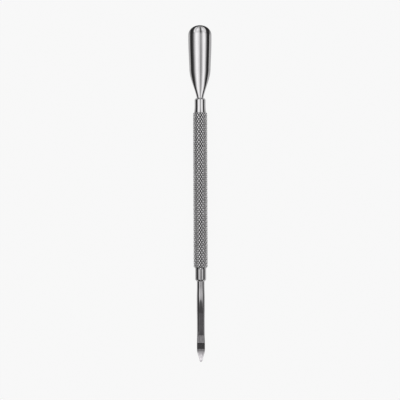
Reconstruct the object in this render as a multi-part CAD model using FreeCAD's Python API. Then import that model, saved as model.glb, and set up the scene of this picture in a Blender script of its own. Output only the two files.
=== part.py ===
import FreeCAD, Part
import os
from math import asin, cos, pi, radians, sin, sqrt, tan

from FreeCAD import Vector

# Double-ended cuticle pusher: a knurled tube, two ferrules, a spoon pusher and a scraper blade.
# Millimetres. +Y runs along the handle to the spoon's end and +Z is up. The tool lies on the plane Z = 0 with
# the hollow of the spoon downwards, and the origin is under the middle of its length.

# Places along Y.
TOTAL_LENGTH = 140.0
SPOON_TIP_Y = TOTAL_LENGTH / 2
SPOON_SEAT_Y = 39.65
TUBE_SPOON_END_Y = 33.5
TUBE_SCRAPER_END_Y = -30.55
SCRAPER_SEAT_Y = -36.35
SCRAPER_TIP_Y = -TOTAL_LENGTH / 2

# Knurled handle tube.
CREST_RADIUS = 2.9
KNURL_DEPTH = 0.28
KNURL_STARTS = 16
KNURL_PITCH = 1.69
TUBE_BORE_RADIUS = 2.05
TUBE_END_RADIUS = 2.65
TUBE_END_CHAMFER = 0.25
AXIS_Z = CREST_RADIUS

# Ferrules, pressed into the tube and drilled for the tangs.
COLLAR_RADIUS = 2.27
SHOULDER_RADIUS = 2.54
SPOON_SHOULDER_LENGTH = 2.8
SCRAPER_SHOULDER_LENGTH = 0.9
NOSE_BEVEL = 0.6
NOSE_BEVEL_ANGLE = radians(38)
NOSE_ROUNDING = 0.4
SPIGOT_LENGTH = 9.0
SPIGOT_CHAMFER = 0.4
TANG_RADIUS = 1.2
TANG_LENGTH = 10.0
TANG_CHAMFER = 0.25
BORE_DEPTH = 10.5
DRILL_POINT_ANGLE = radians(118)

# Spoon pusher: a round neck that widens into a curved shell with a nose like part of a ball.
NECK_RADIUS = 1.38
SPOON_HALF_WIDTH = 4.8
SPOON_EDGE_ANGLE = radians(62)
SHELL_RADIUS = SPOON_HALF_WIDTH / sin(SPOON_EDGE_ANGLE)
FLARE_START_Y = 37.2
FLARE_END_Y = 51.6
SPOON_BELLY = 0.5
BELLY_START_Y = 48.0
BELLY_END_Y = 64.0
HOLLOW_START_Y = 40.0
HOLLOW_FULL_Y = 48.5
CROWN_Z = 3.34
CROWN_THICKNESS = 0.75
RIM_THICKNESS = 0.42
NOSE_LENGTH = 4.0
NOSE_START_Y = SPOON_TIP_Y - NOSE_LENGTH
NOSE_OVERRUN = 0.5

# Scraper blade: a round shank that swells a little, slims again, turns square and sinks towards the blade.
SHANK_RADIUS = 1.56
SHANK_SWELL = 0.15
SWELL_START_Y = -38.5
SWELL_END_Y = -45.0
SLIMMING = 0.115
SLIM_START_Y = -45.0
SLIM_END_Y = -52.5
BLADE_SWELL = 0.1
BLADE_START_Y = -58.0
BLADE_FULL_Y = -63.0
BLADE_DROP = 0.3
BLADE_SUNK_Y = -64.0
BLADE_SQUARENESS = 4.5
SQUARE_START_Y = -57.0
SQUARE_END_Y = -60.5

# The ground face as (y, height over the handle axis): along the shank, down the step, then an arc to the tip.
GROUND_FACE = ((-43.0, 1.74), (-49.5, 1.42), (-58.6, 1.34), (-61.7, 0.97), (-64.6, -0.65))
TIP_FACE_MIDDLE = (-67.3, -1.05)
TIP_FACE_END = (SCRAPER_TIP_Y, -1.76)
TIP_FACE_OVERRUN_SLOPE = 0.3

# The blade's point in plan: a small round tip, straight flanks, and a bend into each side.
POINT_TIP_RADIUS = 0.5
POINT_FLANK_ANGLE = radians(16)
POINT_BEND_RADIUS = 8.0

# Modelling.
SECTION_STEP = 0.9
SECTION_POINTS = 48
OVERRUN = 1.5
PRISM_BOTTOM_Z = -1.0
PRISM_HEIGHT = 12.0


def save(name, shape):
    """Writes one sub-part, and stops if it isn't one closed solid."""
    if len(shape.Solids) != 1 or not shape.isValid() or not shape.Solids[0].isClosed():
        raise RuntimeError(name + " is not one valid solid")
    shape.exportStep("parts/" + name + ".step")
    print(name, "faces", len(shape.Faces), "volume", round(shape.Volume, 2))


def on_axis(y, radius=0.0, angle=0.0):
    """A point at a distance from the handle axis. Angle 0 points up, pi / 2 points to +X."""
    return Vector(radius * sin(angle), y, AXIS_Z + radius * cos(angle))


def line(a, b):
    return Part.LineSegment(a, b).toShape()


def arc(a, middle, b):
    return Part.Arc(a, middle, b).toShape()


def turned(edges):
    """A solid turned round the handle axis from the edges of a half section."""
    return Part.Face(Part.Wire(edges)).revolve(on_axis(0.0), Vector(0, 1, 0), 360)


def in_plan(x, y):
    return Vector(x, y, PRISM_BOTTOM_Z)


def prism(edges):
    """A solid with upright walls on the edges of a plan, taller than the tool."""
    outline = Part.Wire(Part.sortEdges(edges)[0])
    return Part.Face(outline).extrude(Vector(0, 0, PRISM_HEIGHT))


def smoothstep(value, start, end):
    """Rises from 0 at start to 1 at end with level ends; start may be the larger."""
    t = min(1.0, max(0.0, (value - start) / (end - start)))
    return t * t * (3 - 2 * t)


def signed_power(value, power):
    return abs(value) ** power * (1 if value > 0 else -1)


def loft(section, start_y, end_y):
    """A solid through equally spaced closed sections; section(y) gives the points of one of them."""
    count = round(abs(end_y - start_y) / SECTION_STEP)
    wires = []
    for i in range(count + 1):
        curve = Part.BSplineCurve()
        curve.interpolate(Points=section(start_y + (end_y - start_y) * i / count), PeriodicFlag=True)
        wires.append(Part.Wire(curve.toShape()))
    return Part.makeLoft(wires, True, False)


# Handle tube


def ring(y, radii):
    """Points round the axis at one place along it; the radii take turns."""
    count = 2 * KNURL_STARTS
    return [on_axis(y, radii[i % 2], i * pi / KNURL_STARTS) for i in range(count)]


def triangle(a, b, c):
    return Part.Face(Part.makePolygon([a, b, c, a]))


def band(lower, upper, odd):
    """The triangles between two rings, each cut across so that the shared edge lies in a groove."""
    faces = []
    count = len(lower)
    for i in range(count):
        j = (i + 1) % count
        if (i + odd) % 2 == 0:
            faces += [triangle(lower[i], lower[j], upper[i]), triangle(lower[j], upper[j], upper[i])]
        else:
            faces += [triangle(lower[i], lower[j], upper[j]), triangle(lower[i], upper[j], upper[i])]
    return faces


def knurled_body():
    """Rings half a pitch apart, with diamond tops and groove crossings by turns, sewn into one solid."""
    first = TUBE_SCRAPER_END_Y + TUBE_END_CHAMFER
    last = TUBE_SPOON_END_Y - TUBE_END_CHAMFER
    count = round((last - first) / (KNURL_PITCH / 2))
    top_first = (CREST_RADIUS, CREST_RADIUS - KNURL_DEPTH)
    groove_first = (CREST_RADIUS - KNURL_DEPTH, CREST_RADIUS)
    end_radii = (TUBE_END_RADIUS, TUBE_END_RADIUS)
    rings = [ring(TUBE_SCRAPER_END_Y, end_radii)]
    for row in range(count + 1):
        radii = groove_first if row % 2 else top_first
        rings.append(ring(first + (last - first) * row / count, radii))
    rings.append(ring(TUBE_SPOON_END_Y, end_radii))
    faces = []
    for row in range(len(rings) - 1):
        faces += band(rings[row], rings[row + 1], row + 1)
    for end in (rings[0], rings[-1]):
        faces.append(Part.Face(Part.makePolygon(end + end[:1])))
    shell = Part.Shell(faces)
    shell.sewShape()
    return Part.Solid(Part.Shell(shell.Faces))


def handle_tube():
    length = TUBE_SPOON_END_Y - TUBE_SCRAPER_END_Y + 2 * OVERRUN
    start = on_axis(TUBE_SCRAPER_END_Y - OVERRUN)
    return knurled_body().cut(Part.makeCylinder(TUBE_BORE_RADIUS, length, start, Vector(0, 1, 0)))


# Ferrules


def ferrule(tube_end_y, seat_y, shoulder_length):
    """A collar with a spigot in the tube and a blind bore for a tang; its flat nose is at seat_y."""
    out = 1 if seat_y > tube_end_y else -1

    # The collar rises to its shoulder along an arc that starts level.
    rise = SHOULDER_RADIUS - COLLAR_RADIUS
    shoulder_arc = (shoulder_length**2 + rise**2) / (2 * rise)
    half_turn = asin(shoulder_length / shoulder_arc) / 2
    collar_start_y = tube_end_y + out * shoulder_length
    collar_start = on_axis(collar_start_y, COLLAR_RADIUS)
    middle_y = collar_start_y - out * shoulder_arc * sin(half_turn)
    shoulder_middle = on_axis(middle_y, COLLAR_RADIUS + shoulder_arc * (1 - cos(half_turn)))
    shoulder = on_axis(tube_end_y, SHOULDER_RADIUS)

    # The bevel of the nose runs into the collar along a second arc.
    def nose_arc(turn):
        y = collar_end_y + out * NOSE_ROUNDING * sin(turn)
        return on_axis(y, COLLAR_RADIUS - NOSE_ROUNDING * (1 - cos(turn)))

    collar_end_y = seat_y - out * (NOSE_BEVEL + NOSE_ROUNDING * sin(NOSE_BEVEL_ANGLE))
    bevel_start = nose_arc(NOSE_BEVEL_ANGLE)
    bevel_start_radius = COLLAR_RADIUS - NOSE_ROUNDING * (1 - cos(NOSE_BEVEL_ANGLE))
    nose_edge = on_axis(seat_y, bevel_start_radius - NOSE_BEVEL * tan(NOSE_BEVEL_ANGLE))

    bore_end_y = seat_y - out * BORE_DEPTH
    drill_tip = on_axis(bore_end_y - out * TANG_RADIUS / tan(DRILL_POINT_ANGLE / 2))
    bore_corner = on_axis(bore_end_y, TANG_RADIUS)
    bore_mouth = on_axis(seat_y, TANG_RADIUS)
    spigot_end_y = tube_end_y - out * SPIGOT_LENGTH
    spigot_root = on_axis(tube_end_y, TUBE_BORE_RADIUS)
    spigot_bevel = on_axis(spigot_end_y + out * SPIGOT_CHAMFER, TUBE_BORE_RADIUS)
    spigot_edge = on_axis(spigot_end_y, TUBE_BORE_RADIUS - SPIGOT_CHAMFER)
    spigot_middle = on_axis(spigot_end_y)
    edges = [
        line(drill_tip, bore_corner),
        line(bore_corner, bore_mouth),
        line(bore_mouth, nose_edge),
        line(nose_edge, bevel_start),
        arc(bevel_start, nose_arc(NOSE_BEVEL_ANGLE / 2), nose_arc(0.0)),
        line(nose_arc(0.0), collar_start),
        arc(collar_start, shoulder_middle, shoulder),
        line(shoulder, spigot_root),
        line(spigot_root, spigot_bevel),
        line(spigot_bevel, spigot_edge),
        line(spigot_edge, spigot_middle),
        line(spigot_middle, drill_tip),
    ]
    return turned(edges)


def tang(seat_y, out):
    """The straight pin that is pressed into a ferrule; out is the way from the handle to the tool's tip."""
    end_y = seat_y - out * TANG_LENGTH
    root = on_axis(seat_y, TANG_RADIUS)
    bevel = on_axis(end_y + out * TANG_CHAMFER, TANG_RADIUS)
    tip = on_axis(end_y, TANG_RADIUS - TANG_CHAMFER)
    edges = [
        line(on_axis(seat_y), root),
        line(root, bevel),
        line(bevel, tip),
        line(tip, on_axis(end_y)),
        line(on_axis(end_y), on_axis(seat_y)),
    ]
    return turned(edges)


# Spoon pusher


def ball_drop(y):
    """How much the shell's radius, and so its top, has shrunk where the nose turns into part of a ball."""
    past = max(0.0, y - NOSE_START_Y)
    return SHELL_RADIUS - sqrt(SHELL_RADIUS**2 - past**2)


def spoon_half_width(y):
    """Half width of the neck and the shell. The neck leaves its seat already widening."""
    at_seat = smoothstep(SPOON_SEAT_Y, FLARE_START_Y, FLARE_END_Y)
    share = (smoothstep(y, FLARE_START_Y, FLARE_END_Y) - at_seat) / (1 - at_seat)
    flare = (SPOON_HALF_WIDTH - NECK_RADIUS - SPOON_BELLY) * share
    belly = SPOON_BELLY * smoothstep(y, BELLY_START_Y, BELLY_END_Y)
    return NECK_RADIUS + flare + belly - ball_drop(y) * sin(SPOON_EDGE_ANGLE)


def crown_height(y):
    """Top of the back along the middle."""
    neck_top = AXIS_Z + NECK_RADIUS
    fall = (neck_top - CROWN_Z) * smoothstep(y, SPOON_SEAT_Y, BELLY_END_Y)
    return neck_top - fall - ball_drop(y)


def neck_point(half, top, turn):
    return half * sin(turn), top + NECK_RADIUS * (cos(turn) - 1)


def shell_point(half, top, turn):
    """A point on the shell's section. The turn runs over the back, round the rim and along the hollow."""
    radius = half / sin(SPOON_EDGE_ANGLE)
    if turn < SPOON_EDGE_ANGLE:
        out, angle, reach = radius, turn, 0.0
    elif turn > pi - SPOON_EDGE_ANGLE:
        angle = pi - turn
        swell = (CROWN_THICKNESS - RIM_THICKNESS) * cos(angle / SPOON_EDGE_ANGLE * pi / 2) ** 2
        out, reach = radius - RIM_THICKNESS - swell, 0.0
    else:
        angle = SPOON_EDGE_ANGLE
        roll = (turn - angle) / (pi - 2 * angle) * pi
        out = radius - RIM_THICKNESS / 2 * (1 - cos(roll))
        reach = RIM_THICKNESS / 2 * sin(roll)
    x = out * sin(angle) + reach * cos(angle)
    return x, top - radius + out * cos(angle) - reach * sin(angle)


def spoon_section(y):
    half, top = spoon_half_width(y), crown_height(y)
    share = smoothstep(y, HOLLOW_START_Y, HOLLOW_FULL_Y)
    points = []
    for i in range(SECTION_POINTS):
        turn = 2 * pi * i / SECTION_POINTS
        side = 1 if turn <= pi else -1
        near = min(turn, 2 * pi - turn)
        neck, shell = neck_point(half, top, near), shell_point(half, top, near)
        x = neck[0] * (1 - share) + shell[0] * share
        z = neck[1] * (1 - share) + shell[1] * share
        points.append(Vector(side * x, y, z))
    return points


def nose_outline():
    """A prism whose plan ends in half an ellipse."""
    wide = SPOON_HALF_WIDTH + OVERRUN
    back_y = SPOON_SEAT_Y - OVERRUN
    ellipse = Part.Ellipse(in_plan(0, NOSE_START_Y), SPOON_HALF_WIDTH, NOSE_LENGTH)
    edges = [Part.ArcOfEllipse(ellipse, 0, pi).toShape(), line(in_plan(-wide, back_y), in_plan(wide, back_y))]
    for side in (wide, -wide):
        end_x = SPOON_HALF_WIDTH * side / wide
        edges.append(line(in_plan(end_x, NOSE_START_Y), in_plan(side, NOSE_START_Y)))
        edges.append(line(in_plan(side, NOSE_START_Y), in_plan(side, back_y)))
    return prism(edges)


def spoon_pusher():
    trough = loft(spoon_section, SPOON_SEAT_Y, SPOON_TIP_Y + NOSE_OVERRUN)
    return trough.common(nose_outline()).fuse(tang(SPOON_SEAT_Y, 1))


# Scraper blade


def shank_section(y):
    half = SHANK_RADIUS + SHANK_SWELL * smoothstep(y, SWELL_START_Y, SWELL_END_Y)
    half -= SLIMMING * smoothstep(y, SLIM_START_Y, SLIM_END_Y)
    half += BLADE_SWELL * smoothstep(y, BLADE_START_Y, BLADE_FULL_Y)
    squareness = 2 + (BLADE_SQUARENESS - 2) * smoothstep(y, SQUARE_START_Y, SQUARE_END_Y)
    centre_z = AXIS_Z - BLADE_DROP * smoothstep(y, BLADE_START_Y, BLADE_SUNK_Y)
    points = []
    for i in range(SECTION_POINTS):
        turn = 2 * pi * i / SECTION_POINTS
        across = signed_power(sin(turn), 2 / squareness)
        up = signed_power(cos(turn), 2 / squareness)
        points.append(Vector(half * across, y, centre_z + half * up))
    return points


def ground_away():
    """What the grinder takes off the top of the shank and blade, as a slab across X."""

    def at(place):
        return Vector(-PRISM_HEIGHT / 2, place[0], AXIS_Z + place[1])

    face_end = at(TIP_FACE_END)
    past_tip = at((TIP_FACE_END[0] - OVERRUN, TIP_FACE_END[1] - OVERRUN * TIP_FACE_OVERRUN_SLOPE))
    over_tip = at((TIP_FACE_END[0] - OVERRUN, PRISM_HEIGHT / 2))
    over_start = at((GROUND_FACE[0][0], PRISM_HEIGHT / 2))
    corners = [over_start] + [at(place) for place in GROUND_FACE]
    edges = [line(a, b) for a, b in zip(corners, corners[1:])]
    edges.append(arc(corners[-1], at(TIP_FACE_MIDDLE), face_end))
    edges += [line(face_end, past_tip), line(past_tip, over_tip), line(over_tip, over_start)]
    return Part.Face(Part.Wire(edges)).extrude(Vector(PRISM_HEIGHT, 0, 0))


def point_outline():
    """A prism whose plan has the blade's point."""
    half = SHANK_RADIUS + BLADE_SWELL
    wide = half + OVERRUN
    back_y = SCRAPER_SEAT_Y + OVERRUN
    tip_x = POINT_TIP_RADIUS * cos(POINT_FLANK_ANGLE)
    tip_y = SCRAPER_TIP_Y + POINT_TIP_RADIUS * (1 - sin(POINT_FLANK_ANGLE))
    bend_x = half - POINT_BEND_RADIUS * (1 - cos(POINT_FLANK_ANGLE))
    bend_y = tip_y + (bend_x - tip_x) / tan(POINT_FLANK_ANGLE)
    side_y = bend_y + POINT_BEND_RADIUS * sin(POINT_FLANK_ANGLE)
    middle_x = half - POINT_BEND_RADIUS * (1 - cos(POINT_FLANK_ANGLE / 2))
    middle_y = side_y - POINT_BEND_RADIUS * sin(POINT_FLANK_ANGLE / 2)
    edges = [
        arc(in_plan(-tip_x, tip_y), in_plan(0, SCRAPER_TIP_Y), in_plan(tip_x, tip_y)),
        line(in_plan(-wide, back_y), in_plan(wide, back_y)),
    ]
    for side in (1, -1):
        bend = in_plan(side * bend_x, bend_y)
        shoulder = in_plan(side * half, side_y)
        edges.append(line(in_plan(side * tip_x, tip_y), bend))
        edges.append(arc(bend, in_plan(side * middle_x, middle_y), shoulder))
        edges.append(line(shoulder, in_plan(side * wide, side_y)))
        edges.append(line(in_plan(side * wide, side_y), in_plan(side * wide, back_y)))
    return prism(edges)


def scraper_blade():
    rod = loft(shank_section, SCRAPER_SEAT_Y, SCRAPER_TIP_Y - OVERRUN)
    return rod.cut(ground_away()).common(point_outline()).fuse(tang(SCRAPER_SEAT_Y, -1))


def main():
    os.makedirs("parts", exist_ok=True)
    save("handle_tube", handle_tube())
    save("spoon_ferrule", ferrule(TUBE_SPOON_END_Y, SPOON_SEAT_Y, SPOON_SHOULDER_LENGTH))
    save("scraper_ferrule", ferrule(TUBE_SCRAPER_END_Y, SCRAPER_SEAT_Y, SCRAPER_SHOULDER_LENGTH))
    save("spoon_pusher", spoon_pusher())
    save("scraper_blade", scraper_blade())


main()
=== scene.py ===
from math import acos, atan2, cos, pi, radians, sin, sqrt, tan

import bmesh
import bpy
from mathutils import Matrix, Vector


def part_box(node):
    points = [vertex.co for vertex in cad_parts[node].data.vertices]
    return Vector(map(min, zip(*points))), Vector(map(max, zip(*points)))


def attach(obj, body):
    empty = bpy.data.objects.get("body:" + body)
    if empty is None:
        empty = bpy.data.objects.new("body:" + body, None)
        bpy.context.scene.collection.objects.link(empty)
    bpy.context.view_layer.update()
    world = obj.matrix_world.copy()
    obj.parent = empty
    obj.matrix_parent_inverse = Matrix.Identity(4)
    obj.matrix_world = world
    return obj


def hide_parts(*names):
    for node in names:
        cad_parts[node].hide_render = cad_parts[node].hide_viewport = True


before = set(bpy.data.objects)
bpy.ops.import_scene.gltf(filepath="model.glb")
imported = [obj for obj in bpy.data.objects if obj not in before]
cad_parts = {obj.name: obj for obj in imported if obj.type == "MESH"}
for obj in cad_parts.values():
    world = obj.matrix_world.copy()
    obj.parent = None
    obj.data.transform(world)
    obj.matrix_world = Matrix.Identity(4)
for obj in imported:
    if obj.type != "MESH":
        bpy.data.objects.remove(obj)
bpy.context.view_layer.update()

# Double-ended cuticle pusher. Lengths are in millimetres and become metres when a mesh is made. +Y runs along
# the handle to the spoon, +Z is up, and the tool lies on the floor with the spoon's hollow downwards.

MM = 0.001
# Points in a ring round the handle's axis, and steps in a rounded corner.
RING_POINTS = 96
ROUNDING_STEPS = 6
# In metres: points nearer to each other than the first become one, and edges shorter than the second go.
WELD_DISTANCE = 1e-7
SLIVER_LENGTH = 1e-8


def box_mm(node):
    low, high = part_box(node)
    return Vector(low) / MM, Vector(high) / MM


# Places that the frame gives.
TUBE_LOW, TUBE_HIGH = box_mm("handle_tube")
SPOON_LOW, SPOON_HIGH = box_mm("spoon_pusher")
BLADE_LOW, BLADE_HIGH = box_mm("scraper_blade")
SPOON_FERRULE_LOW, SPOON_FERRULE_HIGH = box_mm("spoon_ferrule")
SCRAPER_FERRULE_LOW, SCRAPER_FERRULE_HIGH = box_mm("scraper_ferrule")
AXIS_Z = (TUBE_LOW.z + TUBE_HIGH.z) / 2
CREST_RADIUS = (TUBE_HIGH.z - TUBE_LOW.z) / 2
SPOON_SEAT_Y = SPOON_FERRULE_HIGH.y
SPOON_TIP_Y = SPOON_HIGH.y
SCRAPER_SEAT_Y = SCRAPER_FERRULE_LOW.y
SCRAPER_TIP_Y = BLADE_LOW.y

# Knurled tube. The diamonds are rings of points as (size, depth) shares, from the grooves to the flat top.
KNURL_DEPTH = 0.28
KNURL_STARTS = 16
KNURL_PITCH = 1.69
DIAMOND_RINGS = ((1.0, 1.0), (0.95, 0.985), (0.5, 0.0), (0.0, 0.0))
DIAMOND_SIDE_STEPS = 3
TUBE_BORE_RADIUS = 2.05
TUBE_END_RADIUS = 2.65
TUBE_END_CHAMFER = 0.25
BORE_RIM = 0.15
KNURL_SHARP_ANGLE = radians(8)

# Ferrules.
COLLAR_RADIUS = 2.27
SHOULDER_RADIUS = 2.54
SPOON_SHOULDER_LENGTH = 2.8
SCRAPER_SHOULDER_LENGTH = 0.9
NOSE_BEVEL_LENGTH = 0.708
NOSE_BEVEL_ANGLE = radians(38)
SPIGOT_CHAMFER = 0.4
TANG_RADIUS = 1.2
TANG_CHAMFER = 0.25
BORE_DEPTH = 10.5
DRILL_POINT_HALF_ANGLE = radians(59)
MOUTH_ROUNDING = 0.08
NOSE_ROUNDING = 0.06
BEVEL_ROUNDING = 0.138
SHOULDER_ROUNDING = 0.06
SPIGOT_ROOT_ROUNDING = 0.05
SPIGOT_END_ROUNDING = 0.1
COLLAR_SHARP_ANGLE = radians(35)

# Spoon pusher.
NECK_RADIUS = 1.38
SPOON_HALF_WIDTH = 4.8
SPOON_EDGE_ANGLE = radians(62)
SHELL_RADIUS = SPOON_HALF_WIDTH / sin(SPOON_EDGE_ANGLE)
FLARE_START_Y = 37.2
FLARE_END_Y = 51.6
SPOON_BELLY = 0.5
BELLY_START_Y = 48.0
BELLY_END_Y = 64.0
HOLLOW_START_Y = 40.0
HOLLOW_FULL_Y = 48.5
CROWN_Z = 3.34
CROWN_THICKNESS = 0.75
RIM_THICKNESS = 0.42
NOSE_LENGTH = 4.0
NOSE_START_Y = SPOON_TIP_Y - NOSE_LENGTH
BACK_STEPS = 22
RIM_STEPS = 8
SPOON_STEP = 0.35
FAN_STEPS = 72
SPOON_SHARP_ANGLE = radians(50)

# Scraper blade.
SHANK_RADIUS = 1.56
SHANK_SWELL = 0.15
SWELL_START_Y = -38.5
SWELL_END_Y = -45.0
SLIMMING = 0.115
SLIM_START_Y = -45.0
SLIM_END_Y = -52.5
BLADE_SWELL = 0.1
BLADE_START_Y = -58.0
BLADE_FULL_Y = -63.0
BLADE_DROP = 0.3
BLADE_SUNK_Y = -64.0
BLADE_SQUARENESS = 4.5
SQUARE_START_Y = -57.0
SQUARE_END_Y = -60.5
# The ground face as (y, height over the handle axis), then its heights at the tip and halfway there.
GROUND_FACE = ((-43.0, 1.74), (-49.5, 1.42), (-58.6, 1.34), (-61.7, 0.97), (-64.6, -0.65))
TIP_FACE_MIDDLE_HEIGHT = -1.05
TIP_FACE_END_HEIGHT = -1.76
# The bevel along the ground face, the most of the face's half width that it takes, how many of its widths each
# corner of the face is eased over, and the cosine of the least turn from the top to the face's edge.
GROUND_EDGE = 0.025
GROUND_EDGE_SHARE = 0.3
EASING_STEPS = 2
LEAST_CUT_COSINE = 0.985
POINT_TIP_RADIUS = 0.5
POINT_FLANK_ANGLE = radians(16)
POINT_BEND_RADIUS = 8.0
FACE_STEPS = 12
SIDE_STEPS = 22
BLADE_STEP = 0.25
TIP_STEPS = 8
SCRAPER_SHARP_ANGLE = radians(28)


# Meshes


def smoothstep(value, start, end):
    """Rises from 0 at start to 1 at end with level ends; start may be the larger."""
    t = min(1.0, max(0.0, (value - start) / (end - start)))
    return t * t * (3 - 2 * t)


def spread(start, end, step):
    """Evenly spaced values from start to end, about a step apart."""
    count = max(1, round(abs(end - start) / step))
    return [start + (end - start) * i / count for i in range(count + 1)]


def skin(bm, rows, closed=True):
    """Quads between neighbouring rows of equally many vertices; closed rows run round to their first vertex."""
    for a, b in zip(rows, rows[1:]):
        for i in range(0 if closed else 1, len(a)):
            bm.faces.new((a[i - 1], a[i], b[i], b[i - 1]))


def make_piece(name, grids, node, material, sharp_angle):
    """A piece from grids, each of them rows of points in millimetres and whether the rows are closed."""
    bm = bmesh.new()
    for rows, closed in grids:
        skin(bm, [[bm.verts.new(Vector(p) * MM) for p in row] for row in rows], closed)
    return finish_piece(bm, name, node, material, sharp_angle)


def finish_piece(bm, name, node, material, sharp_angle):
    """Welds points that coincide, turns the normals outwards, and puts the piece in place of a CAD node."""
    bmesh.ops.remove_doubles(bm, verts=bm.verts, dist=WELD_DISTANCE)
    bmesh.ops.dissolve_degenerate(bm, edges=bm.edges, dist=SLIVER_LENGTH)
    bmesh.ops.recalc_face_normals(bm, faces=bm.faces)
    mesh = bpy.data.meshes.new(name)
    bm.to_mesh(mesh)
    bm.free()
    mesh.shade_smooth()
    mesh.set_sharp_from_angle(angle=sharp_angle)
    mesh.materials.append(material)
    piece = bpy.data.objects.new(name, mesh)
    bpy.context.collection.objects.link(piece)
    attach(piece, "root")
    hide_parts(node)
    return piece


def around(radius, y, turn):
    """A point at a distance from the handle axis. Turns start at the top and go to +X."""
    return Vector((radius * sin(turn), y, AXIS_Z + radius * cos(turn)))


def ring(y, radius, count=RING_POINTS):
    return [around(radius, y, 2 * pi * i / count) for i in range(count)]


def mirrored(right):
    """A closed ring from its half at +X, whose first and last points are on the middle plane."""
    return right + [(-x, y, z) for x, y, z in reversed(right[1:-1])]


def rounded(corners):
    """A path of (y, radius) points through (y, radius, rounding) corners, with an arc in place of each corner."""
    path = []
    for i, (y, r, size) in enumerate(corners):
        if size == 0 or i in (0, len(corners) - 1):
            path.append((y, r))
            continue
        here = Vector((y, r))
        before = (Vector(corners[i - 1][:2]) - here).normalized()
        after = (Vector(corners[i + 1][:2]) - here).normalized()
        for k in range(ROUNDING_STEPS + 1):
            t = k / ROUNDING_STEPS
            path.append(tuple(here + before * size * (1 - t) ** 2 + after * size * t**2))
    return path


# Knurled sleeve


def diamond(bm, middle_y, middle_turn, half_y, half_turn):
    """One diamond of the knurl, out to the bottoms of the four grooves round it."""
    corners = ((1, 0), (0, 1), (-1, 0), (0, -1))
    rings = []
    for size, depth in DIAMOND_RINGS:
        radius = CREST_RADIUS - KNURL_DEPTH * depth
        points = []
        for (y0, t0), (y1, t1) in zip(corners, corners[1:] + corners[:1]):
            for step in range(DIAMOND_SIDE_STEPS):
                share = step / DIAMOND_SIDE_STEPS
                y = middle_y + half_y * size * (y0 + (y1 - y0) * share)
                turn = middle_turn + half_turn * size * (t0 + (t1 - t0) * share)
                points.append(bm.verts.new(around(radius, y, turn) * MM))
        rings.append(points)
    skin(bm, rings)


def turn_of(vert):
    """A vertex's turn round the handle axis."""
    return atan2(vert.co.x, vert.co.z - AXIS_Z * MM)


def end_rings(bm, end_y, cut_y, out):
    """Cuts the knurl off at cut_y, and gives rings of vertices from there over the chamfer into the bore."""
    cut = bmesh.ops.bisect_plane(
        bm,
        geom=bm.verts[:] + bm.edges[:] + bm.faces[:],
        plane_co=(0, cut_y * MM, 0),
        plane_no=(0, out, 0),
        clear_outer=True,
        dist=SLIVER_LENGTH,
    )
    edge = [item for item in cut["geom_cut"] if isinstance(item, bmesh.types.BMVert)]
    edge.sort(key=turn_of)
    rings = [edge]
    for y, radius in (
        (end_y, TUBE_END_RADIUS),
        (end_y, TUBE_BORE_RADIUS + BORE_RIM),
        (end_y - out * BORE_RIM, TUBE_BORE_RADIUS),
    ):
        rings.append([bm.verts.new(around(radius, y, turn_of(v)) * MM) for v in edge])
    return rings


def knurled_sleeve(material):
    """Diamonds in rows half a pitch apart, cut off at the end chamfers, with the end faces and the bore."""
    first, last = TUBE_LOW.y + TUBE_END_CHAMFER, TUBE_HIGH.y - TUBE_END_CHAMFER
    count = round((last - first) / (KNURL_PITCH / 2))
    half_y, half_turn = (last - first) / count, pi / KNURL_STARTS
    bm = bmesh.new()
    for row in range(count + 1):
        for i in range(row % 2, 2 * KNURL_STARTS, 2):
            diamond(bm, first + row * half_y, i * half_turn, half_y, half_turn)
    bmesh.ops.remove_doubles(bm, verts=bm.verts, dist=WELD_DISTANCE)
    skin(bm, end_rings(bm, TUBE_LOW.y, first, -1) + end_rings(bm, TUBE_HIGH.y, last, 1)[::-1])
    return finish_piece(bm, "knurled_sleeve", "handle_tube", material, KNURL_SHARP_ANGLE)


# Collars


def collar(name, node, tube_end_y, seat_y, spigot_end_y, shoulder_length, material):
    """A smooth collar with its spigot and the blind bore that holds the tang."""
    out = 1 if seat_y > tube_end_y else -1
    bore_end_y = seat_y - out * BORE_DEPTH
    drill_point = TANG_RADIUS / tan(DRILL_POINT_HALF_ANGLE)
    corners = [
        (bore_end_y - out * drill_point, 0.0, 0),
        (bore_end_y, TANG_RADIUS, 0),
        (seat_y, TANG_RADIUS, MOUTH_ROUNDING),
        (seat_y, COLLAR_RADIUS - NOSE_BEVEL_LENGTH * tan(NOSE_BEVEL_ANGLE), NOSE_ROUNDING),
        (seat_y - out * NOSE_BEVEL_LENGTH, COLLAR_RADIUS, BEVEL_ROUNDING),
        (tube_end_y + out * shoulder_length / 2, COLLAR_RADIUS, shoulder_length / 2),
        (tube_end_y, SHOULDER_RADIUS, SHOULDER_ROUNDING),
        (tube_end_y, TUBE_BORE_RADIUS, SPIGOT_ROOT_ROUNDING),
        (spigot_end_y + out * SPIGOT_CHAMFER, TUBE_BORE_RADIUS, SPIGOT_END_ROUNDING),
        (spigot_end_y, TUBE_BORE_RADIUS - SPIGOT_CHAMFER, SPIGOT_END_ROUNDING),
        (spigot_end_y, 0.0, 0),
    ]
    rings = [ring(y, r) for y, r in rounded(corners)]
    return make_piece(name, [(rings, True)], node, material, COLLAR_SHARP_ANGLE)


def tang_rings(seat_y, end_y, count):
    """Rings of a tang from its free end to its root."""
    out = 1 if seat_y > end_y else -1
    places = ((end_y, 0.0), (end_y, TANG_RADIUS - TANG_CHAMFER), (end_y + out * TANG_CHAMFER, TANG_RADIUS))
    return [ring(y, r, count) for y, r in places + ((seat_y, TANG_RADIUS),)]


# Spoon


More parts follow.
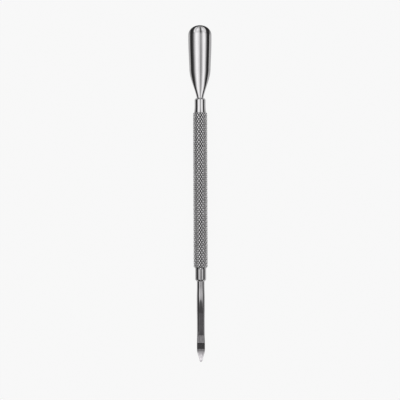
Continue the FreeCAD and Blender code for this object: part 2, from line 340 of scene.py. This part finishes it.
def spoon_half_width(y):
    """Half width of the neck and the shell. The neck leaves its seat already widening."""
    at_seat = smoothstep(SPOON_SEAT_Y, FLARE_START_Y, FLARE_END_Y)
    share = (smoothstep(y, FLARE_START_Y, FLARE_END_Y) - at_seat) / (1 - at_seat)
    flare = (SPOON_HALF_WIDTH - NECK_RADIUS - SPOON_BELLY) * share
    return NECK_RADIUS + flare + SPOON_BELLY * smoothstep(y, BELLY_START_Y, BELLY_END_Y)


def crown_height(y):
    """Top of the back along the middle, short of the nose."""
    neck_top = AXIS_Z + NECK_RADIUS
    return neck_top - (neck_top - CROWN_Z) * smoothstep(y, SPOON_SEAT_Y, BELLY_END_Y)


def wall(share):
    """Thickness of the shell from its middle, share 0, to its rim, share 1."""
    return RIM_THICKNESS + (CROWN_THICKNESS - RIM_THICKNESS) * cos(share * pi / 2) ** 2


def half_turns():
    """Turns from the crown over the back, round the rim and back along the hollow to the middle."""
    back = [SPOON_EDGE_ANGLE * i / BACK_STEPS for i in range(BACK_STEPS + 1)]
    rim_turn = pi - 2 * SPOON_EDGE_ANGLE
    rim = [SPOON_EDGE_ANGLE + rim_turn * i / RIM_STEPS for i in range(1, RIM_STEPS)]
    return back + rim + [pi - t for t in reversed(back)]


def shell_point(half, top, turn):
    """A point (x, z) on the shell's section."""
    radius = half / sin(SPOON_EDGE_ANGLE)
    reach = 0.0
    if turn <= SPOON_EDGE_ANGLE:
        out, angle = radius, turn
    elif turn >= pi - SPOON_EDGE_ANGLE:
        angle = pi - turn
        out = radius - wall(angle / SPOON_EDGE_ANGLE)
    else:
        angle = SPOON_EDGE_ANGLE
        roll = (turn - angle) / (pi - 2 * angle) * pi
        out = radius - RIM_THICKNESS / 2 * (1 - cos(roll))
        reach = RIM_THICKNESS / 2 * sin(roll)
    x = out * sin(angle) + reach * cos(angle)
    return x, top - radius + out * cos(angle) - reach * sin(angle)


def spoon_ring(y):
    """The round section of the neck, passing into the shell's."""
    half, top = spoon_half_width(y), crown_height(y)
    share = smoothstep(y, HOLLOW_START_Y, HOLLOW_FULL_Y)
    right = []
    for turn in half_turns():
        neck_x, neck_z = half * sin(turn), top + NECK_RADIUS * (cos(turn) - 1)
        shell_x, shell_z = shell_point(half, top, turn)
        x, z = neck_x * (1 - share) + shell_x * share, neck_z * (1 - share) + shell_z * share
        right.append((x, y, z))
    return mirrored(right)


def nose_column(direction):
    """Points in one upright plane through the nose's centre: over the back, round the rim, along the hollow.

    The back is part of a ball of the shell's radius, and its outline in plan is half an ellipse."""
    centre = Vector((0, NOSE_START_Y, CROWN_Z - SHELL_RADIUS))
    along = NOSE_LENGTH - RIM_THICKNESS / 2 * (1 - NOSE_LENGTH / SHELL_RADIUS)
    reach = 1 / sqrt((cos(direction) / SPOON_HALF_WIDTH) ** 2 + (sin(direction) / along) ** 2)

    def surface(distance):
        """The place on the ball at a plan distance from its centre, its normal, and the way onwards and down."""
        lean = distance / SHELL_RADIUS
        rise = sqrt(1 - lean**2)
        normal = Vector((lean * cos(direction), lean * sin(direction), rise))
        onward = Vector((rise * cos(direction), rise * sin(direction), -lean))
        return centre + normal * SHELL_RADIUS, normal, onward

    column = []
    for turn in half_turns():
        if turn <= SPOON_EDGE_ANGLE:
            column.append(surface(reach * sin(turn) / sin(SPOON_EDGE_ANGLE))[0])
        elif turn >= pi - SPOON_EDGE_ANGLE:
            angle = pi - turn
            place, normal, _ = surface(reach * sin(angle) / sin(SPOON_EDGE_ANGLE))
            column.append(place - normal * wall(angle / SPOON_EDGE_ANGLE))
        else:
            place, normal, onward = surface(reach)
            roll = (turn - SPOON_EDGE_ANGLE) / (pi - 2 * SPOON_EDGE_ANGLE) * pi
            side = normal * (cos(roll) - 1) + onward * sin(roll)
            column.append(place + side * RIM_THICKNESS / 2)
    return column


def spoon(material):
    rings = [spoon_ring(y) for y in spread(SPOON_SEAT_Y, NOSE_START_Y, SPOON_STEP)]
    tang = tang_rings(SPOON_SEAT_Y, SPOON_LOW.y, len(rings[0]))
    fan = [nose_column(pi * i / FAN_STEPS) for i in range(FAN_STEPS + 1)]
    grids = [(tang + rings, True), (fan, False)]
    return make_piece("spoon_blade", grids, "spoon_pusher", material, SPOON_SHARP_ANGLE)


# Scraper


def ground_line(y):
    """Height of the ground face over the handle axis, with sharp corners."""
    for (y0, z0), (y1, z1) in zip(GROUND_FACE, GROUND_FACE[1:]):
        if y >= y1:
            return z0 + (z1 - z0) * (y - y0) / (y1 - y0)
    start_y, start_z = GROUND_FACE[-1]
    t = (y - start_y) / (SCRAPER_TIP_Y - start_y)
    from_start = start_z * (1 - t) * (1 - 2 * t)
    return from_start + TIP_FACE_MIDDLE_HEIGHT * 4 * t * (1 - t) + TIP_FACE_END_HEIGHT * t * (2 * t - 1)


def ground_height(y):
    """The same with its corners eased."""
    samples = [ground_line(y + GROUND_EDGE * k) for k in range(-EASING_STEPS, EASING_STEPS + 1)]
    return sum(samples) / len(samples)


def point_half_width(y):
    """Half width of the blade's outline: a small round tip, straight flanks, and a bend into each side."""
    side = SHANK_RADIUS + BLADE_SWELL
    from_tip = y - SCRAPER_TIP_Y
    tip_x, tip_run = POINT_TIP_RADIUS * cos(POINT_FLANK_ANGLE), POINT_TIP_RADIUS * (1 - sin(POINT_FLANK_ANGLE))
    bend_x = side - POINT_BEND_RADIUS * (1 - cos(POINT_FLANK_ANGLE))
    bend_run = tip_run + (bend_x - tip_x) / tan(POINT_FLANK_ANGLE)
    side_run = bend_run + POINT_BEND_RADIUS * sin(POINT_FLANK_ANGLE)
    if from_tip >= side_run:
        return side
    if from_tip >= bend_run:
        return side - POINT_BEND_RADIUS + sqrt(POINT_BEND_RADIUS**2 - (side_run - from_tip) ** 2)
    if from_tip >= tip_run:
        return tip_x + (from_tip - tip_run) * tan(POINT_FLANK_ANGLE)
    return sqrt(POINT_TIP_RADIUS**2 - (POINT_TIP_RADIUS - from_tip) ** 2)


def signed_power(value, power):
    return abs(value) ** power * (1 if value > 0 else -1)


def blade_ring(y):
    """The shank's section with its top cut level by the grinding, and a small bevel along the cut."""
    half = SHANK_RADIUS + SHANK_SWELL * smoothstep(y, SWELL_START_Y, SWELL_END_Y)
    half -= SLIMMING * smoothstep(y, SLIM_START_Y, SLIM_END_Y)
    half += BLADE_SWELL * smoothstep(y, BLADE_START_Y, BLADE_FULL_Y)
    wide = min(half, point_half_width(y))
    squareness = 2 + (BLADE_SQUARENESS - 2) * smoothstep(y, SQUARE_START_Y, SQUARE_END_Y)
    power = 2 / squareness
    centre = -BLADE_DROP * smoothstep(y, BLADE_START_Y, BLADE_SUNK_Y)
    level = (ground_height(y) - centre) / half
    cut = acos(max(-1.0, min(LEAST_CUT_COSINE, signed_power(level, squareness / 2))))

    def outline(turn):
        return wide * signed_power(sin(turn), power), centre + half * signed_power(cos(turn), power)

    edge_x, edge_z = outline(cut)
    bevel = min(GROUND_EDGE, edge_x * GROUND_EDGE_SHARE)
    right = []
    for i in range(FACE_STEPS + 1):
        x = (edge_x - bevel) * i / FACE_STEPS
        crown = half * max(0.0, 1 - (x / wide) ** squareness) ** (1 / squareness) + centre
        right.append((x, y, AXIS_Z + min(crown, max(edge_z, ground_height(y)))))
    first = cut + bevel / half
    for i in range(SIDE_STEPS + 1):
        x, z = outline(first + (pi - first) * i / SIDE_STEPS)
        right.append((max(0.0, x) if i < SIDE_STEPS else 0.0, y, AXIS_Z + z))
    return mirrored(right)


def scraper(material):
    stations = spread(SCRAPER_SEAT_Y, SCRAPER_TIP_Y + POINT_TIP_RADIUS, BLADE_STEP)
    for corner, _ in GROUND_FACE[1:]:
        stations += [corner + GROUND_EDGE * k for k in range(-EASING_STEPS - 1, EASING_STEPS + 2)]
    for k in range(1, TIP_STEPS):
        stations.append(SCRAPER_TIP_Y + POINT_TIP_RADIUS * (1 - cos(k / TIP_STEPS * pi / 2)))
    rings = [blade_ring(y) for y in sorted(stations, reverse=True)]
    count = len(rings[0])
    tip_middle = sum((Vector(p) for p in rings[-1]), Vector()) / count
    tang = tang_rings(SCRAPER_SEAT_Y, BLADE_HIGH.y, count)
    grids = [(tang + rings + [[tip_middle] * count], True)]
    return make_piece(
        "scraper_blade_ground", grids, "scraper_blade", material, SCRAPER_SHARP_ANGLE
    )


# Shader nodes


def add_node(tree, kind, inputs=None, **settings):
    """A new node with its settings made, and each input set to a value or linked from another node's output."""
    node = tree.nodes.new(kind)
    for name, value in settings.items():
        setattr(node, name, value)
    for key, value in (inputs or {}).items():
        if isinstance(value, bpy.types.NodeSocket):
            tree.links.new(value, node.inputs[key])
        else:
            node.inputs[key].default_value = value
    return node


def calculate(tree, operation, *values):
    return add_node(tree, "ShaderNodeMath", dict(enumerate(values)), operation=operation).outputs["Value"]


def fade(tree, value, start, end, levels=(0.0, 1.0), interpolation="LINEAR"):
    """The first level where the value is at start, the second where it is at end, and no further beyond them."""
    inputs = {"Value": value, "From Min": start, "From Max": end, "To Min": levels[0], "To Max": levels[1]}
    return add_node(tree, "ShaderNodeMapRange", inputs, interpolation_type=interpolation).outputs["Result"]


def hump(tree, value, half_width):
    """1 at zero, falling smoothly to 0 at the half width on both sides."""
    return fade(tree, calculate(tree, "ABSOLUTE", value), half_width, 0.0, interpolation="SMOOTHSTEP")


def ramp(tree, value, stops, low, high):
    """Straight lines through (value, level) stops between low and high; the levels may pass 1."""
    brightest = max(level for _, level in stops)
    share = calculate(tree, "MULTIPLY_ADD", value, 1 / (high - low), -low / (high - low))
    node = add_node(tree, "ShaderNodeValToRGB", {"Fac": share})
    while len(node.color_ramp.elements) < len(stops):
        node.color_ramp.elements.new(0.5)
    for element, (at, level) in zip(node.color_ramp.elements, stops):
        element.position = (at - low) / (high - low)
        element.color = grey(level / brightest)
    return calculate(tree, "MULTIPLY", node.outputs["Color"], brightest)


def separate(tree, vector):
    """The X, Y and Z of a vector."""
    return add_node(tree, "ShaderNodeSeparateXYZ", {"Vector": vector}).outputs


def grey(level):
    return (level, level, level, 1)


# Materials

STREAK_DETAIL = 4.0
STREAK_WEIGHT = 0.65
CLOUD_SCALE = 260.0
CLOUD_DETAIL = 5.0
CLOUD_WEIGHT = 0.35
# Levels of the mixed noise for the darkest, dullest steel and for the brightest, glossiest steel.
GRAIN_LOW = 0.35
GRAIN_HIGH = 0.65
# The shank's colour where it isn't ground, how near its collar that begins, and the Z of the normal on the ground
# face and on the round sides.
UNGROUND_COLOUR = (0.5, 0.49, 0.5, 1)
UNGROUND_FROM_Y = -47.0
UNGROUND_FULL_Y = -42.0
FACE_NORMAL_Z = 0.86
SIDE_NORMAL_Z = 0.8
# The knurl's painted shade colour at the bottom of a groove, and the share of its depth down to which the steel
# is full bright.
GROOVE_PAINTED_SHADE = grey(0.015)
SHADE_START_DEPTH = 0.1


def steel(name, bright, dark, roughness, streak_scale, streak_depth):
    """Bare stainless steel: fine streaks along Y in its colour, gloss and relief, and faint cloudy patches.

    Gives the material and its colour's output. The roughness is (glossiest, dullest), the depth in metres."""
    material = bpy.data.materials.new(name)
    material.use_nodes = True
    tree = material.node_tree
    place = tree.nodes.new("ShaderNodeTexCoord").outputs["Object"]
    stretched = add_node(tree, "ShaderNodeMapping", {"Vector": place, "Scale": streak_scale}).outputs["Vector"]
    fine = {"Vector": stretched, "Scale": 1.0, "Detail": STREAK_DETAIL}
    streaks = add_node(tree, "ShaderNodeTexNoise", fine).outputs["Fac"]
    wide = {"Vector": place, "Scale": CLOUD_SCALE, "Detail": CLOUD_DETAIL}
    clouds = add_node(tree, "ShaderNodeTexNoise", wide).outputs["Fac"]
    scaled = calculate(tree, "MULTIPLY", streaks, STREAK_WEIGHT)
    grain = calculate(tree, "MULTIPLY_ADD", clouds, CLOUD_WEIGHT, scaled)

    tint = add_node(tree, "ShaderNodeValToRGB", {"Fac": grain})
    for element, at, colour in zip(tint.color_ramp.elements, (GRAIN_LOW, GRAIN_HIGH), (dark, bright)):
        element.position = at
        element.color = (*colour, 1)
    glossiest, dullest = roughness
    gloss = fade(tree, grain, GRAIN_LOW, GRAIN_HIGH, levels=(dullest, glossiest))
    relief = add_node(tree, "ShaderNodeBump", {"Height": streaks, "Strength": 1.0, "Distance": streak_depth})

    shader = tree.nodes["Principled BSDF"]
    shader.inputs["Metallic"].default_value = 1.0
    tree.links.new(tint.outputs["Color"], shader.inputs["Base Color"])
    tree.links.new(gloss, shader.inputs["Roughness"])
    tree.links.new(relief.outputs["Normal"], shader.inputs["Normal"])
    return material, tint.outputs["Color"]


def blend_base_colour(tree, share, first, second):
    """Gives the steel a base colour from the first, at share 0, to the second, at share 1."""
    mix = add_node(tree, "ShaderNodeMix", {"Factor": share, "A": first, "B": second}, data_type="RGBA")
    tree.links.new(mix.outputs["Result"], tree.nodes["Principled BSDF"].inputs["Base Color"])


def polished_steel():
    """The collars and the spoon."""
    return steel(
        "polished_steel",
        bright=(0.7, 0.69, 0.7),
        dark=(0.62, 0.61, 0.62),
        roughness=(0.05, 0.12),
        streak_scale=(4200, 260, 4200),
        streak_depth=3e-7,
    )[0]


def ground_steel():
    """The scraper: dull where its top is ground away, brighter on the round sides and towards the collar."""
    material, colour = steel(
        "ground_steel",
        bright=(0.37, 0.36, 0.37),
        dark=(0.18, 0.17, 0.18),
        roughness=(0.05, 0.13),
        streak_scale=(4200, 260, 4200),
        streak_depth=2e-6,
    )
    tree = material.node_tree
    coordinates = tree.nodes.new("ShaderNodeTexCoord").outputs
    place, facing = separate(tree, coordinates["Object"]), separate(tree, coordinates["Normal"])
    limits = UNGROUND_FROM_Y * MM, UNGROUND_FULL_Y * MM
    near_collar = fade(tree, place["Y"], *limits, interpolation="SMOOTHSTEP")
    on_side = fade(tree, facing["Z"], FACE_NORMAL_Z, SIDE_NORMAL_Z)
    unground = calculate(tree, "MAXIMUM", near_collar, on_side)
    blend_base_colour(tree, unground, colour, UNGROUND_COLOUR)
    return material


def knurled_steel():
    """The handle: duller steel, with painted shade darkening it to nearly black at the bottom of the grooves."""
    material, colour = steel(
        "knurled_steel",
        bright=(0.97, 0.96, 0.97),
        dark=(0.84, 0.83, 0.84),
        roughness=(0.33, 0.44),
        streak_scale=(3000, 1500, 3000),
        streak_depth=2e-6,
    )
    tree = material.node_tree
    place = tree.nodes.new("ShaderNodeTexCoord").outputs["Object"]
    from_axis = add_node(tree, "ShaderNodeVectorMath", {0: place, 1: (0, 0, AXIS_Z * MM)}, operation="SUBTRACT")
    outwards = {0: from_axis.outputs["Vector"], 1: (1, 0, 1)}
    flat = add_node(tree, "ShaderNodeVectorMath", outwards, operation="MULTIPLY")
    distance = add_node(tree, "ShaderNodeVectorMath", {0: flat.outputs["Vector"]}, operation="LENGTH")
    # Painted shade: the base colour falls from the steel's own colour to nearly black down into each groove.
    bottom, bright_from = CREST_RADIUS - KNURL_DEPTH, CREST_RADIUS - KNURL_DEPTH * SHADE_START_DEPTH
    height = fade(tree, distance.outputs["Value"], bottom * MM, bright_from * MM)
    blend_base_colour(tree, height, GROOVE_PAINTED_SHADE, colour)
    return material


# Studio. Lengths are in metres here. The camera sees an even pale floor and backdrop, and the steel reflects
# a pattern of light.

FLOOR_HALF_SIZE = 20.0
FLOOR_Z = -1e-5
FLOOR_PAPER = 0.04
FLOOR_GLOW = 0.914
# Seen in the metal, the floor is light only beside the tool: (axis, light up to, dark from).
FLOOR_GLOW_IN_METAL = 0.6
FLOOR_LIT = (("X", -0.008, -0.025), ("X", 0.02, 0.1), ("Y", 0.066, 0.072))
BACKDROP = 0.936
LENS = 150.0
CLIP_START = 0.01
CLIP_END = 50.0
FRAME_WIDTH = 0.1659
VIEW_ROLL = radians(0.2)
VIEW_CENTRE = Vector((-0.00018, -0.00265, 0.0029))

# Brightness of the studio by its angle across the tool from straight overhead, in degrees towards +X: a dark
# horizon, a soft light on each side and a narrow darker gap overhead, where the camera is.
STUDIO_ACROSS = (
    (-96, 0.03),
    (-76, 0.04),
    (-68, 0.06),
    (-60, 0.2),
    (-52, 0.55),
    (-44, 0.95),
    (-37, 1.25),
    (-30, 1.45),
    (-18, 1.25),
    (-8, 1.0),
    (1, 0.62),
    (9, 0.34),
    (17, 0.66),
    (26, 1.05),
    (36, 1.42),
    (46, 1.15),
    (55, 0.6),
    (64, 0.1),
    (72, 0.03),
)
DARKEST = STUDIO_ACROSS[0][1]
# Share of that light by the direction along the tool, -1 towards the scraper's end and 1 towards the spoon's.
STUDIO_ALONG = (
    (-1.0, 0.15),
    (-0.5, 0.3),
    (-0.12, 0.45),
    (-0.03, 0.8),
    (0.04, 1.0),
    (0.3, 1.0),
    (0.5, 0.75),
    (0.8, 0.95),
    (0.99, 0.4),
)
# How much deeper the gap overhead gets towards both ends, by the same direction.
GAP_HALF_WIDTH = radians(14)
GAP_MIDDLE = radians(9)
GAP_DEPTH = ((-0.1, 0.75), (-0.03, 0.5), (0.02, 0.0), (0.1, 0.0), (0.6, 0.9))
# A narrow window low over the scraper's end: brightness by the same direction, and its half width as the
# direction's share towards X.
WINDOW = (
    (-0.98, 0.26),
    (-0.88, 0.16),
    (-0.72, 0.1),
    (-0.6, 2.8),
    (-0.45, 2.0),
    (-0.3, 0.55),
    (-0.24, 0.25),
    (-0.1, 0.0),
)
WINDOW_HALF_WIDTH = 0.22
# Two panels beyond the spoon's end, one on each side: brightness by the same direction. The angle across the tool
# of their middles grows with that direction, from the first angle at 0 by the second one at 1.
PANELS = ((0.3, 0.0), (0.42, 1.2), (0.6, 1.2), (0.75, 1.1), (0.9, 1.2), (0.98, 0.4))
PANEL_ANGLE = radians(33)
PANEL_SPLAY = radians(36)
PANEL_HALF_WIDTH = radians(20)


def choose_shader(tree, share, first, second):
    """The first shader at share 0 and the second at share 1."""
    return add_node(tree, "ShaderNodeMixShader", {"Fac": share, 1: first, 2: second}).outputs["Shader"]


def studio_world():
    world = bpy.data.worlds.new("studio")
    bpy.context.scene.world = world
    world.use_nodes = True
    tree = world.node_tree
    tree.nodes.clear()

    x, y, z = separate(tree, tree.nodes.new("ShaderNodeTexCoord").outputs["Generated"])
    across = calculate(tree, "ARCTAN2", x, z)
    stops = [(radians(angle), level) for angle, level in STUDIO_ACROSS]
    lights = calculate(tree, "MULTIPLY", ramp(tree, across, stops, -pi, pi), ramp(tree, y, STUDIO_ALONG, -1, 1))
    gap = hump(tree, calculate(tree, "SUBTRACT", across, GAP_MIDDLE), GAP_HALF_WIDTH)
    deepening = calculate(tree, "MULTIPLY", gap, ramp(tree, y, GAP_DEPTH, -1, 1))
    lights = calculate(tree, "MULTIPLY", lights, calculate(tree, "SUBTRACT", 1.0, deepening))
    window = calculate(tree, "MULTIPLY", hump(tree, x, WINDOW_HALF_WIDTH), ramp(tree, y, WINDOW, -1, 1))
    panel_middle = calculate(tree, "MULTIPLY_ADD", y, PANEL_SPLAY, PANEL_ANGLE)
    aside = calculate(tree, "SUBTRACT", calculate(tree, "ABSOLUTE", across), panel_middle)
    panels = calculate(tree, "MULTIPLY", hump(tree, aside, PANEL_HALF_WIDTH), ramp(tree, y, PANELS, -1, 1))
    studio = lights
    for other in (window, panels, DARKEST):
        studio = calculate(tree, "MAXIMUM", studio, other)

    light = add_node(tree, "ShaderNodeBackground", {"Color": grey(1), "Strength": studio})
    backdrop = add_node(tree, "ShaderNodeBackground", {"Color": grey(BACKDROP)})
    to_camera = tree.nodes.new("ShaderNodeLightPath").outputs["Is Camera Ray"]
    both = choose_shader(tree, to_camera, light.outputs["Background"], backdrop.outputs["Background"])
    add_node(tree, "ShaderNodeOutputWorld", {"Surface": both})


def floor_material():
    """Pale paper for the camera, and for the metal a floor that is light only beside the tool."""
    material = bpy.data.materials.new("pale_floor")
    material.use_nodes = True
    tree = material.node_tree
    tree.nodes.clear()
    paper = add_node(tree, "ShaderNodeBsdfDiffuse", {"Color": grey(FLOOR_PAPER)}).outputs["BSDF"]
    glow = add_node(tree, "ShaderNodeEmission", {"Strength": FLOOR_GLOW}).outputs["Emission"]
    pale = add_node(tree, "ShaderNodeAddShader", {0: paper, 1: glow}).outputs["Shader"]

    place = separate(tree, tree.nodes.new("ShaderNodeTexCoord").outputs["Object"])
    lit = FLOOR_GLOW_IN_METAL
    for axis, light_to, dark_from in FLOOR_LIT:
        beside = fade(tree, place[axis], dark_from, light_to, interpolation="SMOOTHSTEP")
        lit = calculate(tree, "MULTIPLY", beside, lit)
    lit = calculate(tree, "MAXIMUM", lit, DARKEST)
    in_metal = add_node(tree, "ShaderNodeEmission", {"Strength": lit}).outputs["Emission"]
    to_metal = tree.nodes.new("ShaderNodeLightPath").outputs["Is Glossy Ray"]
    add_node(tree, "ShaderNodeOutputMaterial", {"Surface": choose_shader(tree, to_metal, pale, in_metal)})
    return material


def floor():
    half = FLOOR_HALF_SIZE
    corners = [(x, y, FLOOR_Z) for x, y in ((-half, -half), (half, -half), (half, half), (-half, half))]
    mesh = bpy.data.meshes.new("floor")
    mesh.from_pydata(corners, [], [(0, 1, 2, 3)])
    mesh.materials.append(floor_material())
    sheet = bpy.data.objects.new("floor", mesh)
    bpy.context.collection.objects.link(sheet)


def camera():
    data = bpy.data.cameras.new("camera")
    data.lens = LENS
    data.clip_start = CLIP_START
    data.clip_end = CLIP_END
    eye = bpy.data.objects.new("camera", data)
    bpy.context.collection.objects.link(eye)
    distance = FRAME_WIDTH / data.sensor_width * LENS
    eye.location = VIEW_CENTRE + Vector((0, 0, distance))
    eye.rotation_euler = (0, 0, -VIEW_ROLL)
    bpy.context.scene.camera = eye


polished = polished_steel()
knurled_sleeve(knurled_steel())
collar(
    "spoon_collar",
    "spoon_ferrule",
    tube_end_y=TUBE_HIGH.y,
    seat_y=SPOON_SEAT_Y,
    spigot_end_y=SPOON_FERRULE_LOW.y,
    shoulder_length=SPOON_SHOULDER_LENGTH,
    material=polished,
)
collar(
    "scraper_collar",
    "scraper_ferrule",
    tube_end_y=TUBE_LOW.y,
    seat_y=SCRAPER_SEAT_Y,
    spigot_end_y=SCRAPER_FERRULE_HIGH.y,
    shoulder_length=SCRAPER_SHOULDER_LENGTH,
    material=polished,
)
spoon(polished)
scraper(ground_steel())
floor()
studio_world()
camera()
bpy.context.scene.view_settings.view_transform = "Standard"
